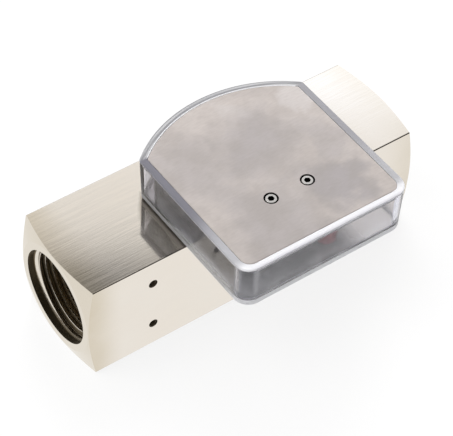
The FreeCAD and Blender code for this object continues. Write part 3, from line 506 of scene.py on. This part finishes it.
def lid_material():
    """Bare plate: dull, with soft stains and a fine grain, and painted shade underneath and in its recesses."""
    material, tree, sockets = new_material("bare_plate", Metallic=1.0)
    ragged = ramp_between(tree, noise(tree, 60.0, 5.0), *NOISE_WIDE, -STAIN_RAGGEDNESS, STAIN_RAGGEDNESS)
    stained = largest(tree, *(patch(tree, *stain, ragged) for stain in LID_STAINS))
    worn = largest(tree, *(patch(tree, *spot, ragged) for spot in LID_WORN))
    tints = rise(tree, noise(tree, 110.0, 4.0), *NOISE_NARROW)
    grain = noise(tree, 1500.0, 3.0, (0.25, 1.0, 1.0))

    plain = blend_colours(tree, tints, *LID_PLAIN)
    dark = blend_colours(tree, tints, *LID_STAINED)
    mottled = blend_colours(tree, stained, plain, dark)
    brightened = blend_colours(tree, worn, mottled, LID_BRIGHT)
    face = blend_colours(tree, ramp_between(tree, grain, *NOISE_WIDE, 0.0, 0.12), brightened, LID_GRAIN)
    # Painted shade below the lid's top face
    underneath = fall(tree, point_axes(tree)["Z"], LID_HIGH.z - 0.6 * MM, LID_HIGH.z - 0.45 * MM)
    join(tree, blend_colours(tree, underneath, face, LID_SHADE_UNDERNEATH), sockets["Base Color"])
    join(tree, ramp_between(tree, grain, *NOISE_WIDE, 0.36, 0.46), sockets["Roughness"])
    join(tree, bump(tree, grain, 0.004 * MM), sockets["Normal"])
    return material


def arc_reflection_lines(tree, spot, past_arc):
    """Painted reflection on the brim round the lid's arc: fine light and dark lines that follow the arc."""
    across = product(tree, past_arc, ARC_LINES_PER_METRE)
    along = product(tree, spot["Y"], ARC_LINE_BREAKS_PER_METRE)
    where = add_node(tree, "ShaderNodeCombineXYZ", {"X": across, "Y": along}).outputs["Vector"]
    lines = add_node(tree, "ShaderNodeTexNoise", {"Vector": where, "Scale": 1.0}).outputs["Fac"]
    return blend_colours(tree, rise(tree, lines, *NOISE_NARROW), *BRIM_REFLECTION_ARC)


def tray_brim_light(tree, spot):
    """Brim painted with light: share of painted white highlight (front, and a line round the lid's arc), share of
    painted silvery reflection, and that reflection's tone.
    """
    top = rise(tree, spot["Z"], LID_HIGH.z - 1.2 * MM, LID_HIGH.z - 0.15 * MM)
    outer_front = ramp_between(tree, spot["Y"], TRAY_FRONT, TRAY_FRONT + 1.8 * MM, 0.5, 1.0)
    front = fall(tree, spot["Y"], TRAY_FRONT + 2.5 * MM, TRAY_FRONT + 7.0 * MM)
    past_arc = difference(tree, upright_distance(tree, PIVOT), LID_ARC)
    on_arc = rise(tree, spot["Y"], ARC_END - 1.0 * MM, ARC_END)
    lid_line_highlight = product(tree, on_arc, ramp_between(tree, past_arc, 0.35 * MM, 0.6 * MM, 0.95, 0.0))
    # white: painted highlight on the front brim and round the lid's arc
    white = largest(tree, product(tree, outer_front, front), lid_line_highlight)
    brim_reflection = rest_of(tree, largest(tree, front, lid_line_highlight))

    towards_back = rise(tree, spot["Y"], TRAY_FRONT + 10.0 * MM, TRAY_FRONT + 33.0 * MM)
    on_right = above(tree, spot["X"], PIVOT.x)
    back_tone = blend_colours(tree, on_right, *BRIM_REFLECTION_BACK_LEFT_AND_RIGHT)
    side_tone = blend_colours(tree, towards_back, BRIM_REFLECTION_SIDE_FRONT, back_tone)
    tone = blend_colours(tree, on_arc, side_tone, arc_reflection_lines(tree, spot, past_arc))
    return product(tree, top, white), product(tree, top, brim_reflection), tone


def tray_foot_sheen(tree, spot, upright):
    """Foot with painted light: its matt share and its painted sheen, lighter at the front than at the back."""
    low = fall(tree, spot["Z"], TRAY_FLOOR, TRAY_FLOOR + 1.0 * MM)
    matt = ramp_between(tree, spot["Y"], TRAY_FRONT + 2.0 * MM, TRAY_FRONT + 9.0 * MM, 1.0, 0.85)
    further_back = rise(tree, spot["Y"], TRAY_FRONT + 4.0 * MM, TRAY_FRONT + 12.0 * MM)
    return product(tree, low, matt, upright), blend_colours(tree, further_back, *FOOT_SHEEN_FRONT_AND_BACK)


def tray_haze(tree, spot, facing, upright):
    """Haze on the walls: faint smears, a veil low on the side walls, and painted highlight bands beside each front
    corner.
    """
    clouds = ramp_between(tree, noise(tree, 150.0, 4.0, (1.0, 1.0, 0.45)), 0.35, 0.68, 0.10, 0.25)
    fading = ramp_between(tree, spot["Z"], TRAY_FLOOR, LID_HIGH.z - 3.0 * MM, 1.6, 0.2)
    smears = product(tree, clouds, fading)

    streaks = ramp_between(tree, noise(tree, 300.0, 4.0, (1.0, 0.3, 1.0)), 0.38, 0.62, 0.1, 0.7)
    overhang = ramp_between(tree, spot["Y"], BAR_LOW.y, BAR_LOW.y + 8.0 * MM, 0.62, 0.0)
    low = fall(tree, spot["Z"], TRAY_FLOOR, TRAY_FLOOR + 9.0 * MM)
    past_corner = rise(tree, spot["Y"], TRAY_FRONT + 3.0 * MM, TRAY_FRONT + 9.0 * MM)
    before_arc = ramp_between(tree, spot["Y"], ARC_END - 6.0 * MM, ARC_END, 1.0, 0.3)
    veil = product(tree, largest(tree, streaks, overhang), low, past_corner, before_arc)

    # Painted highlights beside each front corner
    bend = size_of(tree, product(tree, facing["X"], facing["Y"]))
    beginning = ramp_between(tree, bend, 0.02, 0.15, 0.0, 0.35)
    ending = fall(tree, bend, 0.25, 0.42)
    at_front = below(tree, spot["Y"], TRAY_FRONT + 9.0 * MM)
    corner_highlights = product(tree, beginning, ending, at_front)
    return product(tree, largest(tree, smears, veil, corner_highlights), upright)


def tray_shade_sheet(tree, spot, level):
    """Sheet of painted shade on the tray's floor, within the scale: its share and its blotchy tone, lighter
    towards the front, with painted light beside the left wall.
    """
    below_top = below(tree, spot["Z"], TRAY_FLOOR + 0.05 * MM)
    above_foot = above(tree, spot["Z"], TRAY_FLOOR - 0.05 * MM)
    within_strip = below(tree, upright_distance(tree, PIVOT), STRIP_FACE_RADIUS)
    thinning = ramp_between(tree, spot["X"], SHADE_SHEET_END - 6.0 * MM, SHADE_SHEET_END + 6.0 * MM, 1.0, 0.2)
    share = product(tree, below_top, above_foot, level, within_strip, thinning)

    blotches = rise(tree, noise(tree, 130.0, 3.0), *NOISE_NARROW)
    near_front = fall(tree, spot["Y"], TRAY_FRONT + 10.0 * MM, TRAY_FRONT + 18.0 * MM)
    # Painted light beside the left wall
    beside_wall = fall(tree, spot["X"], TRAY_LEFT + 3.5 * MM, TRAY_LEFT + 8.5 * MM)
    back = blend_colours(tree, blotches, *SHADE_SHEET_BACK)
    front = blend_colours(tree, blotches, *SHADE_SHEET_FRONT)
    tone = blend_colours(tree, near_front, back, front)
    return share, blend_colours(tree, beside_wall, tone, SHEET_LIGHT_BESIDE_WALL)


def clear_material():
    """Clear moulded plastic: matt on its brim and foot, which carry painted light, hazy on its walls, with a sheet
    of painted shade on its floor.
    """
    material, tree, sockets = new_material("clear_plastic", IOR=1.49)
    spot = point_axes(tree)
    facing = normal_axes(tree)
    level = above(tree, size_of(tree, facing["Z"]), 0.95)
    upright = rest_of(tree, level)
    white, brim_reflection, brim_reflection_tone = tray_brim_light(tree, spot)
    foot, foot_sheen_tone = tray_foot_sheen(tree, spot, upright)
    shade_sheet, shade_sheet_tone = tray_shade_sheet(tree, spot, level)
    haze = tray_haze(tree, spot, facing, upright)
    # matt holds the brim's painted highlight and the foot's painted sheen
    matt = largest(tree, white, foot)

    flow = noise(tree, 220.0, 2.0, (1.0, 1.0, 0.12))
    tint = blend_colours(tree, flow, *CLEAR_TINT)
    footed = blend_colours(tree, foot, tint, foot_sheen_tone)
    brimmed = blend_colours(tree, brim_reflection, footed, brim_reflection_tone)
    join(tree, blend_colours(tree, shade_sheet, brimmed, shade_sheet_tone), sockets["Base Color"])

    polish = ramp_between(tree, noise(tree, 600.0, 4.0, (1.0, 1.0, 0.4)), 0.45, 0.75, 0.05, 0.10)
    softened = ramp_between(tree, spot["Y"], TRAY_FRONT + 4.0 * MM, TRAY_FRONT + 7.0 * MM, 0.07, 0.0)
    dull = product(tree, largest(tree, matt, shade_sheet, brim_reflection), 0.35)
    join(tree, total(tree, polish, softened, dull), sockets["Roughness"])

    frosted = largest(tree, matt, product(tree, haze, 0.73))
    clear = ramp_between(tree, frosted, 0.0, 1.0, 1.0, 0.35)
    beyond_brim_reflection = ramp_between(tree, brim_reflection, 0.0, 1.0, 1.0, 0.3)
    join(tree, product(tree, clear, rest_of(tree, shade_sheet), beyond_brim_reflection), sockets["Transmission Weight"])

    wavy = fall(tree, spot["Z"], LID_HIGH.z - 4.0 * MM, LID_HIGH.z - 1.0 * MM)
    join(tree, bump(tree, flow, 0.03 * MM, wavy), sockets["Normal"])
    body_tint = add_node(tree, "ShaderNodeVolumeAbsorption", CLEAR_DEPTH).outputs[0]
    join(tree, body_tint, tree.nodes["Material Output"].inputs["Volume"])
    return material


def moulded_material(name, light, dark, low, high):
    """Moulded plastic or paint with a fine skin; low and high bound its roughness."""
    material, tree, sockets = new_material(name, IOR=1.5)
    skin = noise(tree, 1400.0, 3.0)
    shade = noise(tree, 120.0, 2.0)
    join(tree, blend_colours(tree, shade, light, dark), sockets["Base Color"])
    join(tree, ramp_between(tree, skin, *NOISE_WIDE, low, high), sockets["Roughness"])
    join(tree, bump(tree, skin, 0.01 * MM), sockets["Normal"])
    return material


def scale_material():
    """Scale strip: white on the side that carries the marks, grey on its back, black at its ends."""
    material, tree, sockets = new_material("white_scale", IOR=1.5)
    radius = upright_distance(tree, PIVOT)
    face = above(tree, radius, STRIP_FACE_RADIUS - 0.05 * MM)
    towards_back = maths(tree, "DIVIDE", difference(tree, point_axes(tree)["Y"], PIVOT.y), radius)
    end = below(tree, towards_back, math.cos(STRIP_BORDER_ANGLE))
    skin = noise(tree, 1400.0, 3.0)
    shade = noise(tree, 120.0, 2.0)
    white = blend_colours(tree, shade, *STRIP_WHITE)
    sides = blend_colours(tree, face, STRIP_BACK, white)
    join(tree, blend_colours(tree, end, sides, BLACK), sockets["Base Color"])
    join(tree, ramp_between(tree, skin, *NOISE_WIDE, 0.4, 0.55), sockets["Roughness"])
    return material


materials = {
    "nickel_plate": nickel_material(),
    "thread_metal": thread_material(),
    "bare_plate": lid_material(),
    "clear_plastic": clear_material(),
    "white_scale": scale_material(),
}
materials.update((name, turned_material(name, *look)) for name, look in TURNED_METALS.items())
materials.update((name, moulded_material(name, *look)) for name, look in MOULDINGS.items())


def dress_nodes():
    """Gives each solid the material of its slot, or one of its own."""
    own = {"lid_screws": "lid_screw_steel", "balance_weight": "weight_red"}
    for entry in frame["record"]["subparts"]:
        node = entry["node"]
        mesh = nodes[node].data
        mesh.materials.clear()
        mesh.materials.append(materials[own.get(node, entry["material_slot"])])


# Pieces

def new_piece(name, vertices, faces, material, body):
    """Mesh piece that rides on a body and takes its finish from a slot of the record."""
    mesh = bpy.data.meshes.new(name)
    mesh.from_pydata(vertices, [], faces)
    mesh.validate()
    mesh.materials.append(materials[material])
    piece = bpy.data.objects.new(name, mesh)
    bpy.context.scene.collection.objects.link(piece)
    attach(piece, body)
    return piece


def thread_section(form, along):
    """Corners of the ridge at a depth, cut back where the entry chamfer takes its crest."""
    half = form["pitch"] / 2
    flat = form["pitch"] / HALF_CRESTS_PER_PITCH
    chamfer = form["root"] - ENTRY_SLOPE * (along - form["start"])
    runout = form["crest"] + max(0.0, along - form["end"] + form["pitch"])
    crest = min(form["root"] - LEAST_RIDGE, max(form["crest"], chamfer, runout))
    height = (form["root"] - crest) / (form["root"] - form["crest"])
    foot = flat + (half - flat) * height
    wall = form["root"] + ROOT_OVERLAP
    return [(-foot, wall), (-flat, crest), (flat, crest), (foot, wall)]


def tube_faces(count, corners):
    """Faces of a tube of equal rings of corners, closed at both ends."""
    faces = []
    for ring in range(count - 1):
        near, far = ring * corners, (ring + 1) * corners
        for corner in range(corners):
            following = (corner + 1) % corners
            faces.append((near + corner, near + following, far + following, far + corner))
    last = (count - 1) * corners
    faces.append(tuple(reversed(range(corners))))
    faces.append(tuple(range(last, last + corners)))
    return faces


def make_thread(name, form, mouth, inward, material):
    """Helical ridge of a right-hand thread that runs inward from the middle of its mouth."""
    upward = Vector((0.0, 0.0, 1.0))
    sideways = inward.cross(upward)
    turns = (form["end"] - form["start"]) / form["pitch"]
    count = int(turns * form["steps"])
    vertices = []
    for step in range(count + 1):
        angle = 2 * math.pi * (THREAD_START_TURN + step / form["steps"])
        outward = upward * math.cos(angle) + sideways * math.sin(angle)
        depth = form["start"] + form["pitch"] * step / form["steps"]
        for shift, radius in thread_section(form, depth):
            along = min(max(depth + shift, form["start"]), form["end"])
            vertices.append(mouth + inward * along + outward * radius)
    corners = len(thread_section(form, form["start"]))
    return new_piece(name, vertices, tube_faces(count + 1, corners), material, "meter")


def make_threads():
    """Thread of each port, and of each bracket hole."""
    for name, end_face, inward in (("inlet", BAR_LOW.x, 1.0), ("outlet", BAR_HIGH.x, -1.0)):
        mouth = Vector((end_face, 0.0, FLOW_AXIS_HEIGHT))
        make_thread(f"{name}_thread", PIPE_THREAD, mouth, Vector((inward, 0.0, 0.0)), "thread_metal")
    holes = next(mount for mount in frame["record"]["mounts"] if mount["name"] == "bracket_holes")
    middle = Vector(holes["pos_m"])
    for name, side in (("lower", -0.5), ("upper", 0.5)):
        mouth = middle + Vector((0.0, 0.0, side * holes["dims"]["spacing_y_mm"] * MM))
        make_thread(f"{name}_hole_thread", HOLE_THREAD, mouth, Vector((0.0, 1.0, 0.0)), "hole_thread_metal")


def make_spring():
    """Return spring, which the float squeezes towards its seat: a smooth round-wire coil over the solid spring's
    length, in place of the hidden solid spring.
    """
    length = SPRING_HIGH.x - SPRING_LOW.x
    coil_radius = (SPRING_HIGH.z - SPRING_LOW.z) / 2 - SPRING_WIRE
    count = SPRING_TURNS * SPRING_STEPS + 1
    vertices = []
    for step in range(count):
        turn = 2 * math.pi * step / SPRING_STEPS
        outward = Vector((0.0, -math.sin(turn), math.cos(turn)))
        along = SPRING_LOW.x + SPRING_WIRE + (length - 2 * SPRING_WIRE) * step / (count - 1)
        middle = Vector((along, 0.0, FLOW_AXIS_HEIGHT)) + outward * coil_radius
        for side in range(SPRING_SIDES):
            angle = 2 * math.pi * side / SPRING_SIDES
            offset = Vector((math.cos(angle), 0.0, 0.0)) + outward * math.sin(angle)
            vertices.append(middle + offset * SPRING_WIRE)
    faces = tube_faces(count, SPRING_SIDES)
    spring = new_piece("return_spring_coil", vertices, faces, "spring_steel", "meter")
    spring.data.shade_smooth()
    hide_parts("return_spring")
    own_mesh(spring)
    return spring


def on_strip(angle, height, lift):
    """Point on the strip's outer face, at an angle from the back towards the inlet."""
    radius = STRIP_FACE_RADIUS + lift
    return (PIVOT.x - radius * math.sin(angle), PIVOT.y + radius * math.cos(angle), height)


def mark_block(angle, width, low, high):
    """Corners and faces of one printed mark."""
    half = width / 2 / STRIP_FACE_RADIUS
    corners = []
    for lift in (0.0, INK_THICKNESS):
        for side, height in ((-half, low), (half, low), (half, high), (-half, high)):
            corners.append(on_strip(angle + side, height, lift))
    faces = [(3, 2, 1, 0), (4, 5, 6, 7), (0, 1, 5, 4), (1, 2, 6, 5), (2, 3, 7, 6), (3, 0, 4, 7)]
    return corners, faces


def number_block(text, angle):
    """Corners and faces of one printed number, wrapped round the strip."""
    curve = bpy.data.curves.new("number", "FONT")
    curve.body = text
    curve.size = NUMBER_HEIGHT / FIGURE_SHARE_OF_TYPE
    curve.align_x = "CENTER"
    curve.extrude = INK_THICKNESS / 2
    curve.resolution_u = CURVE_STEPS
    writing = bpy.data.objects.new("number", curve)
    bpy.context.scene.collection.objects.link(writing)
    bpy.context.view_layer.update()
    mesh = bpy.data.meshes.new_from_object(writing.evaluated_get(bpy.context.evaluated_depsgraph_get()))
    shape = bmesh.new()
    shape.from_mesh(mesh)
    bmesh.ops.remove_doubles(shape, verts=shape.verts, dist=WELD_DISTANCE)
    shape.verts.index_update()
    corners = []
    for vertex in shape.verts:
        turn = angle + vertex.co.x / STRIP_FACE_RADIUS
        corners.append(on_strip(turn, NUMBER_BASE + vertex.co.y, vertex.co.z + INK_THICKNESS / 2))
    faces = [tuple(vertex.index for vertex in face.verts) for face in shape.faces]
    shape.free()
    bpy.data.objects.remove(writing)
    bpy.data.meshes.remove(mesh)
    return corners, faces


def make_scale_marks():
    """Marks and plain numbers along the strip, from no flow to full flow."""
    vertices = []
    faces = []

    def keep(block):
        first = len(vertices)
        vertices.extend(block[0])
        faces.extend(tuple(first + corner for corner in face) for face in block[1])

    for mark in range(MARK_COUNT):
        angle = POINTER_RANGE * (0.5 - mark / (MARK_COUNT - 1))
        numbered = mark % MARKS_PER_NUMBER == 0
        length = LONG_MARK if numbered else SHORT_MARK
        width = LONG_MARK_WIDTH if numbered else SHORT_MARK_WIDTH
        keep(mark_block(angle, width, MARK_TOP - length, MARK_TOP))
        if numbered:
            keep(number_block(str(NUMBER_STEP * mark // MARKS_PER_NUMBER), angle))
    return new_piece("scale_marks", vertices, faces, "black_plastic", "meter")


# Stage, light and camera

def white_for(tree, shares, shown, lit):
    """Mixes a share of plain white, for each named kind of ray, into what lights the object."""
    paths = add_node(tree, "ShaderNodeLightPath").outputs
    factor = largest(tree, 0.0, *(product(tree, paths[ray], share) for ray, share in shares.items()))
    return add_node(tree, "ShaderNodeMixShader", {0: factor, 1: lit, 2: shown}).outputs[0]


def make_world():
    """White studio: brightest half-way up, greyer overhead and low down, darker on the camera's side."""
    world = bpy.data.worlds.new("studio")
    bpy.context.scene.world = world
    world.use_nodes = True
    tree = world.node_tree
    tree.nodes.clear()
    towards = axes_of(tree, add_node(tree, "ShaderNodeTexCoord").outputs["Generated"])
    height = towards["Z"]
    low = ramp_between(tree, height, 0.40, 0.62, 0.58, 1.0)
    slope = ramp_between(tree, height, 0.686, 0.718, 1.5, 0.97)
    ceiling = ramp_between(tree, height, 0.750, 0.764, 1.0, 0.2)
    top = ramp_between(tree, height, 0.80, 0.92, 0.0, 0.5)
    front = ramp_between(tree, towards["Y"], -0.5, 0.1, 0.25, 1.0)
    strength = product(tree, total(tree, product(tree, slope, ceiling, low), top), front)
    cool = product(tree, rise(tree, height, 0.66, 0.68), fall(tree, height, 0.698, 0.716))
    tint = blend_colours(tree, cool, *STUDIO_WARM_AND_COOL)
    lit = add_node(tree, "ShaderNodeBackground", {"Color": tint, "Strength": strength}).outputs[0]
    shown = add_node(tree, "ShaderNodeBackground", {"Color": WHITE, "Strength": 1.0}).outputs[0]
    seen = white_for(tree, {"Is Camera Ray": 1.0, "Is Transmission Ray": 0.8}, shown, lit)
    add_node(tree, "ShaderNodeOutputWorld", {"Surface": seen})


def make_floor():
    """Pale floor that keeps the object's shadow."""
    half = FLOOR_HALF_WIDTH
    level = BAR_LOW.z - FLOOR_GAP
    corners = [(-half, -half, level), (half, -half, level), (half, half, level), (-half, half, level)]
    mesh = bpy.data.meshes.new("floor")
    mesh.from_pydata(corners, [], [(0, 1, 2, 3)])
    floor = bpy.data.objects.new("floor", mesh)
    bpy.context.scene.collection.objects.link(floor)
    material, tree, sockets = new_material("floor_paper", Roughness=0.9)
    join(tree, blend_colours(tree, noise(tree, 4.0, 2.0), *PAPER), sockets["Base Color"])
    shown = add_node(tree, "ShaderNodeEmission", {"Color": WHITE, "Strength": 1.0}).outputs[0]
    lit = tree.nodes["Principled BSDF"].outputs[0]
    shares = {"Is Camera Ray": 0.8, "Is Glossy Ray": 1.0, "Is Transmission Ray": 0.9}
    seen = white_for(tree, shares, shown, lit)
    join(tree, seen, tree.nodes["Material Output"].inputs["Surface"])
    mesh.materials.append(material)


def make_lamp(name, position, power):
    """Soft square lamp that points at the object."""
    light = bpy.data.lights.new(name, "AREA")
    light.size = LAMP_SIZE
    light.energy = power
    lamp = bpy.data.objects.new(name, light)
    lamp.visible_glossy = False
    lamp.visible_transmission = False
    bpy.context.scene.collection.objects.link(lamp)
    lamp.location = position
    lamp.rotation_euler = (-position).to_track_quat("-Z", "Y").to_euler()


def make_camera():
    """Camera at the fitted place, with the fitted tilt."""
    data = bpy.data.cameras.new("camera")
    data.sensor_width = SENSOR_WIDTH
    data.lens = FOCAL_PIXELS * SENSOR_WIDTH / PICTURE_WIDTH
    camera = bpy.data.objects.new("camera", data)
    bpy.context.scene.collection.objects.link(camera)
    across = math.cos(CAMERA_ELEVATION)
    back = Vector((
        math.sin(CAMERA_AZIMUTH) * across,
        -math.cos(CAMERA_AZIMUTH) * across,
        math.sin(CAMERA_ELEVATION),
    ))
    level_right = Vector((0.0, 0.0, 1.0)).cross(back).normalized()
    right = Matrix.Rotation(-CAMERA_ROLL, 3, back) @ level_right
    turn = Matrix((right, back.cross(right), back)).transposed()
    camera.matrix_world = Matrix.Translation(CAMERA_PLACE) @ turn.to_4x4()
    bpy.context.scene.camera = camera


bpy.context.scene.view_settings.view_transform = "Standard"
dress_nodes()
make_threads()
make_spring()
make_scale_marks()
make_world()
make_floor()
for lamp in LAMPS:
    make_lamp(*lamp)
make_camera()
